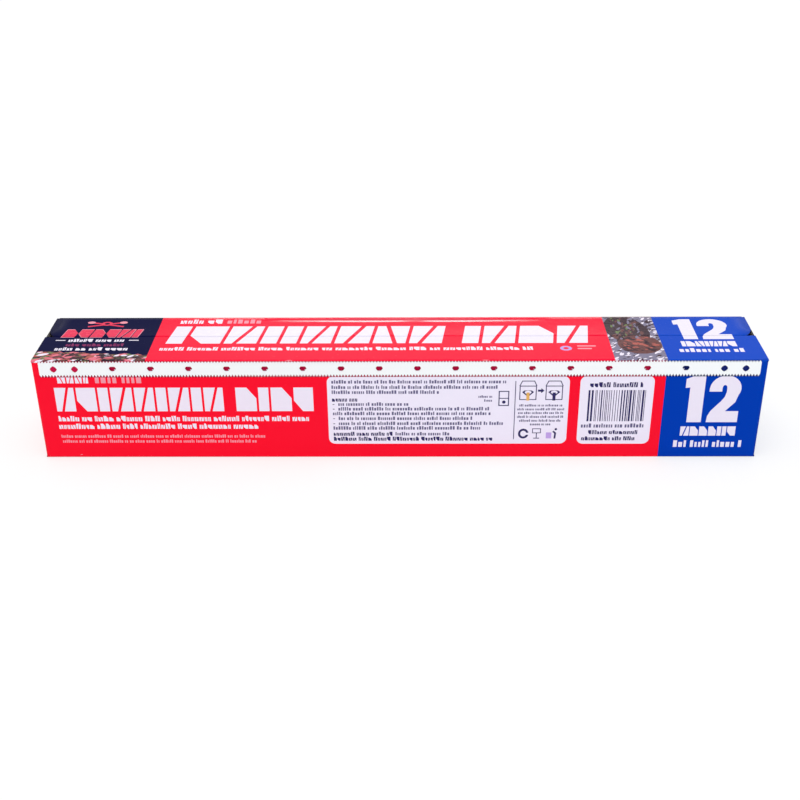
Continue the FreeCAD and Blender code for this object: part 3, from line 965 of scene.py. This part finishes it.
def lines_along(x0, x1, y0, y1, steps):
    """Lines from x0 to x1 that cut the stretch from y0 to y1 into equal steps."""
    return [((x0, y), (x1, y)) for y in (y0 + (y1 - y0) * i / steps for i in range(1, steps))]


def make_lid():
    """Rear part of the top, with its eased corners."""
    radius = (CORNER_RUN ** 2 + CORNER_INSET ** 2) / (2 * CORNER_INSET)
    whole = math.asin(CORNER_RUN / radius)
    right = [(LID_HALF, LID_CREASE_END)]
    steps = 8
    for i in range(steps + 1):
        turn = whole * i / steps
        x = LID_HALF - radius * (1 - math.cos(turn))
        right.append((x, LID_EDGE + CORNER_RUN - radius * math.sin(turn)))
    furrow_y = (FURROW_START + FURROW_END) / 2
    pressed = leaf(FURROW_X, furrow_y, FURROW_HALF, (FURROW_END - FURROW_START) / 2, 0)
    prints = top_print() + [(pressed, "red_pressed")]
    lines = lines_along(-LID_HALF, LID_HALF, LID_EDGE, LID_CREASE_END, 16)
    lines += lines_along(FURROW_X - FURROW_HALF, FURROW_X + FURROW_HALF, FURROW_START, FURROW_END, 12)
    for i in range(-19, 20):
        x = LID_HALF * i / 20
        lines.append(((x, LID_EDGE), (x, LID_CREASE_END)))

    def place(x, y, depth):
        return Vector((x, y, lid_height(x, y) - depth))

    return board_sheet("lid_panel", mirrored(right), "red", place, prints, (), lines, lambda x, y: True)


def make_lid_crease():
    """The fold between the rear panel and the lid."""
    legs = [HEIGHT - CREASE - REAR_TOP, REAR - CREASE - LID_CREASE_END]
    fold = Fold((REAR, REAR_TOP), (0, 1), (-1, 0), legs)
    half = REAR_HALF - CREASE
    end = fold.leg_start(1) + legs[1]
    middle = fold.leg_start(1) - CREASE_RUN / 2
    # The crease's top side takes the top's lighter copies of the red and blue: painted sheen.
    bands = ((-HALF, HALF, "red_top"), (-HALF, NAVY_END, "navy"))
    bands += ((STRIP_START, STRIP_END, "leaf_brown"), (STRIP_END, HALF, "blue_top"))
    prints = [(rectangle(x0, x1, middle, end + 1), ink) for x0, x1, ink in bands]
    prints.append((rectangle(BLUE_START, HALF, -1, middle), "blue"))
    lines = [((-half, run), (half, run)) for run in fold.crease_runs()]

    def place(x, run, depth):
        y, z = fold.at(run, depth)
        return Vector((x, y, z))

    def curved(x, run):
        return fold.creased(run)

    return board_sheet("lid_crease", rectangle(-half, half, 0, end), "red", place, prints, (), lines, curved)


# Foil and core.

def tube(name, rows, sides, ink, centre_z):
    """A closed surface round the roll's axis, from rows of x, radius and depth of its dents."""
    points, faces = [], []
    count = len(rows)
    for x, radius, rough in rows:
        for j in range(sides):
            a = math.tau * j / sides
            r = radius
            if rough:
                r -= rough * (0.5 + 0.5 * noise.noise(Vector((x * 0.08, 3 * math.cos(a), 3 * math.sin(a)))))
            points.append((x, r * math.sin(a), centre_z + r * math.cos(a)))
    for i in range(count):
        after = (i + 1) % count
        for j in range(sides):
            side = (j + 1) % sides
            faces.append((i * sides + j, after * sides + j, after * sides + side, i * sides + side))
    made = new_object(name, points, faces, [ink], [0] * len(faces), [True] * len(faces))
    made.data.set_sharp_from_angle(angle=math.radians(40))
    return made


def make_foil():
    """The wound foil: its surface has the shallow dents of thin metal."""
    bore = CORE_RADIUS + 0.1
    rows = [(-ROLL_HALF, bore, 0), (-ROLL_HALF, ROLL_RADIUS - 0.05, 0)]
    steps = 120
    for i in range(steps + 1):
        x = (ROLL_HALF - 0.1) * (2 * i / steps - 1)
        rows.append((x, ROLL_RADIUS, 0.12))
    rows += [(ROLL_HALF, ROLL_RADIUS - 0.05, 0), (ROLL_HALF, bore, 0)]
    return tube("foil_winding", rows, 120, FOIL, ROLL_Z)


def make_free_end():
    """The doubled edge of the foil that stands off the roll, a little wavy along its length."""
    angle = math.radians(45)
    out = Vector((0, math.cos(angle), math.sin(angle)))
    forward = Vector((0, -math.sin(angle), math.cos(angle)))
    middle = Vector((0, 0, ROLL_Z)) + out * (ROLL_RADIUS - 0.15)
    section = ((-2.2, -0.35), (0.0, 0.2), (2.5, 0.24), (4.9, 0.3), (6.9, 0.3))
    section += ((6.95, 0.12), (4.9, 0.1), (2.5, 0.04), (0.0, -0.05))
    points, faces = [], []
    steps = 90
    ring = len(section)
    for i in range(steps + 1):
        x = (ROLL_HALF - 0.3) * (2 * i / steps - 1)
        for ahead, lift in section:
            wave = 0.12 * noise.noise(Vector((x * 0.06, ahead * 0.1, 1.7))) * max(0, ahead) / 3
            points.append(Vector((x, 0, 0)) + middle + forward * ahead + out * (lift + wave))
    for i in range(steps):
        for j in range(ring):
            a, b = i * ring + j, i * ring + (j + 1) % ring
            faces.append((a, b, b + ring, a + ring))
    faces.append(tuple(range(ring))[::-1])
    faces.append(tuple(steps * ring + j for j in range(ring)))
    made = new_object("foil_free_end", points, faces, [FOIL], [0] * len(faces), [True] * len(faces))
    made.data.set_sharp_from_angle(angle=math.radians(40))
    return made


def make_core():
    """The paper core, with small bevels at its rims."""
    inner = CORE_RADIUS - 1.5
    bevel = 0.15
    rows = [(-CORE_HALF, inner + bevel, 0), (-CORE_HALF, CORE_RADIUS - bevel, 0)]
    rows += [(-CORE_HALF + bevel, CORE_RADIUS, 0), (CORE_HALF - bevel, CORE_RADIUS, 0)]
    rows += [(CORE_HALF, CORE_RADIUS - bevel, 0), (CORE_HALF, inner + bevel, 0)]
    rows += [(CORE_HALF - bevel, inner, 0), (-CORE_HALF + bevel, inner, 0)]
    return tube("paper_core", rows, 96, CORE_PAPER, ROLL_Z)


def make_end_turns():
    """Edges of the wound turns that show at both ends of the roll, as fine rings.

    The wire's radius is a share of its ring's."""
    tree = bpy.data.node_groups.new("end_turns", "GeometryNodeTree")
    tree.interface.new_socket(name="Geometry", in_out="OUTPUT", socket_type="NodeSocketGeometry")
    values = {
        "Turns": 6,
        "First radius": (CORE_RADIUS + 0.25) * MM,
        "Radius step": 0.24 * MM,
        "Half length": ROLL_HALF * MM,
        "Wire": 0.005,
        "Axis height": ROLL_Z * MM,
    }
    sockets = {}
    for name, value in values.items():
        kind = "NodeSocketInt" if isinstance(value, int) else "NodeSocketFloat"
        sockets[name] = tree.interface.new_socket(name=name, in_out="INPUT", socket_type=kind)
    nodes, links = tree.nodes, tree.links
    entry = nodes.new("NodeGroupInput")
    leave = nodes.new("NodeGroupOutput")

    def maths(operation, a, b):
        node = nodes.new("ShaderNodeMath")
        node.operation = operation
        for socket, value in zip(node.inputs, (a, b)):
            if isinstance(value, (int, float)):
                socket.default_value = value
            else:
                links.new(value, socket)
        return node.outputs[0]

    count = maths("MULTIPLY", entry.outputs["Turns"], 2)
    cloud = nodes.new("GeometryNodeMeshLine")
    links.new(count, cloud.inputs["Count"])
    number = nodes.new("GeometryNodeInputIndex").outputs[0]
    side = maths("SUBTRACT", maths("MULTIPLY", maths("MODULO", number, 2), 2), 1)
    turn = maths("FLOOR", maths("DIVIDE", number, 2), 0)
    further = maths("MULTIPLY", turn, entry.outputs["Radius step"])
    radius = maths("ADD", entry.outputs["First radius"], further)
    spot = nodes.new("ShaderNodeCombineXYZ")
    links.new(maths("MULTIPLY", side, entry.outputs["Half length"]), spot.inputs["X"])
    links.new(entry.outputs["Axis height"], spot.inputs["Z"])
    move = nodes.new("GeometryNodeSetPosition")
    links.new(cloud.outputs["Mesh"], move.inputs["Geometry"])
    links.new(spot.outputs[0], move.inputs["Position"])
    ring = nodes.new("GeometryNodeCurvePrimitiveCircle")
    ring.inputs["Resolution"].default_value = 96
    ring.inputs["Radius"].default_value = 1.0
    wire = nodes.new("GeometryNodeCurvePrimitiveCircle")
    wire.inputs["Resolution"].default_value = 6
    links.new(entry.outputs["Wire"], wire.inputs["Radius"])
    body = nodes.new("GeometryNodeCurveToMesh")
    links.new(ring.outputs["Curve"], body.inputs["Curve"])
    links.new(wire.outputs["Curve"], body.inputs["Profile Curve"])
    scatter_rings = nodes.new("GeometryNodeInstanceOnPoints")
    links.new(move.outputs["Geometry"], scatter_rings.inputs["Points"])
    links.new(body.outputs["Mesh"], scatter_rings.inputs["Instance"])
    scatter_rings.inputs["Rotation"].default_value = (0, math.pi / 2, 0)
    links.new(radius, scatter_rings.inputs["Scale"])
    whole = nodes.new("GeometryNodeRealizeInstances")
    links.new(scatter_rings.outputs["Instances"], whole.inputs["Geometry"])
    paint = nodes.new("GeometryNodeSetMaterial")
    paint.inputs["Material"].default_value = FOIL
    links.new(whole.outputs["Geometry"], paint.inputs["Geometry"])
    links.new(paint.outputs["Geometry"], leave.inputs["Geometry"])

    holder = add_object("end_turns_source", bpy.data.meshes.new("end_turns_source"))
    modifier = holder.modifiers.new("turns", "NODES")
    modifier.node_group = tree
    for name, value in values.items():
        modifier[sockets[name].identifier] = value
    bpy.context.view_layer.update()
    graph = bpy.context.evaluated_depsgraph_get()
    mesh = bpy.data.meshes.new_from_object(holder.evaluated_get(graph))
    bpy.data.objects.remove(holder)
    return add_object("foil_end_turns", mesh)


# Assembly.

def fit(piece, body, node):
    """The piece stands for a node, whose part is hidden, and rides on a body if one is given."""
    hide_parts(node)
    if body:
        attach(piece, body)


for piece in (make_front_sheet(), make_rear_sheet(), make_dust_flap(-1), make_dust_flap(1)):
    fit(piece, "carton", "carton")
fit(make_lid(), "lid", "lid")
lid_crease = make_lid_crease()
fit(lid_crease, None, "lid")
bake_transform(lid_crease)
for piece in (make_foil(), make_free_end(), make_end_turns()):
    fit(piece, "carton", "foil_roll")
fit(make_core(), "carton", "core_tube")

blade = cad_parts["cutter_blade"]
blade.data.materials.clear()
blade.data.materials.append(TINPLATE)


# Floor, light and camera.
WORLD_LIGHT = 0.78
KEY_LIGHT = 1.25
RIM_LIGHT = 2.6
FLOOR_LIFT = 0.62


def seen_directly(nodes, links):
    """1 for rays that the camera, a reflection or a clear thing sends out, and 0 for light that is cast."""
    path = nodes.new("ShaderNodeLightPath")
    seen = path.outputs["Is Camera Ray"]
    for kind in ("Is Glossy Ray", "Is Transmission Ray"):
        most = nodes.new("ShaderNodeMath")
        most.operation = "MAXIMUM"
        links.new(seen, most.inputs[0])
        links.new(path.outputs[kind], most.inputs[1])
        seen = most.outputs[0]
    return seen


def mix_shaders(nodes, links, share, first, second):
    """The first shader where the share is 0, and the second where it is 1."""
    mix = nodes.new("ShaderNodeMixShader")
    links.new(share, mix.inputs["Fac"])
    links.new(first.outputs[0], mix.inputs[1])
    links.new(second.outputs[0], mix.inputs[2])
    return mix.outputs[0]


def make_floor():
    """A wide white floor, lifted towards white where it is seen, that keeps the object's soft shadow."""
    reach = 8000
    corners = [(-reach, -reach, 0), (reach, -reach, 0), (reach, reach, 0), (-reach, reach, 0)]
    paint = material("floor_white", (0.93, 0.93, 0.93), 0.9, 0.0)
    nodes, links = paint.node_tree.nodes, paint.node_tree.links
    white = nodes.new("ShaderNodeEmission")
    lift = nodes.new("ShaderNodeMath")
    lift.operation = "MULTIPLY"
    lift.inputs[1].default_value = FLOOR_LIFT
    links.new(seen_directly(nodes, links), lift.inputs[0])
    seen = mix_shaders(nodes, links, lift.outputs[0], nodes["Principled BSDF"], white)
    links.new(seen, nodes["Material Output"].inputs["Surface"])
    floor = new_object("studio_floor", corners, [(0, 1, 2, 3)], [paint], [0], [False])


def make_world():
    """Plain white where it is seen, and a softer white for the light it casts."""
    world = bpy.data.worlds.new("studio_white")
    bpy.context.scene.world = world
    world.use_nodes = True
    nodes, links = world.node_tree.nodes, world.node_tree.links
    nodes.clear()
    soft = nodes.new("ShaderNodeBackground")
    soft.inputs["Strength"].default_value = WORLD_LIGHT
    white = nodes.new("ShaderNodeBackground")
    white.inputs["Strength"].default_value = 1.0
    for shade in (soft, white):
        shade.inputs["Color"].default_value = (1, 1, 1, 1)
    seen = mix_shaders(nodes, links, seen_directly(nodes, links), soft, white)
    links.new(seen, nodes.new("ShaderNodeOutputWorld").inputs["Surface"])


def add_lamp(name, kind, energy):
    """A lamp of the studio."""
    data = bpy.data.lights.new(name, kind)
    data.energy = energy
    return add_object(name, data)


def make_key_light():
    """A very soft light from above, a little in front."""
    lamp = add_lamp("key_light", "SUN", KEY_LIGHT)
    lamp.data.angle = math.radians(50)
    lamp.rotation_euler = (math.radians(14), math.radians(-4), 0)
    lamp.visible_glossy = False


def make_rim_light():
    """A long low panel behind the object, turned to the lid's fold, for the glint along it."""
    lamp = add_lamp("rim_light", "AREA", RIM_LIGHT)
    lamp.data.shape = "RECTANGLE"
    lamp.data.size = 0.62
    lamp.data.size_y = 0.3
    lamp.location = (0, 1.2, 0.27)
    towards = Vector((0, 0.02, 0.047)) - lamp.location
    lamp.rotation_euler = towards.to_track_quat("-Z", "Y").to_euler()
    lamp.visible_camera = False
    lamp.visible_diffuse = False


make_floor()
make_world()
make_key_light()
make_rim_light()

# Camera, as it stood for the photograph.
PITCH = math.radians(28.6841)
YAW = math.radians(-0.88)
ROLL = math.radians(-0.5019)
ahead = Vector((math.sin(YAW) * math.cos(PITCH), math.cos(YAW) * math.cos(PITCH), -math.sin(PITCH)))
level = Vector((math.cos(YAW), -math.sin(YAW), 0))
above = level.cross(ahead)
right = level * math.cos(ROLL) + above * math.sin(ROLL)
up = above * math.cos(ROLL) - level * math.sin(ROLL)
camera_data = bpy.data.cameras.new("camera")
camera_data.sensor_width = 36.0
camera_data.lens = 54.23
camera_data.clip_start = 0.01
camera_data.clip_end = 50.0
camera = add_object("camera", camera_data)
turned = Matrix((right, up, -ahead)).transposed().to_4x4()
camera.matrix_world = Matrix.Translation(Vector((7.52, -473.30, 275.63)) * MM) @ turned
scene = bpy.context.scene
scene.camera = camera
scene.view_settings.view_transform = "Standard"
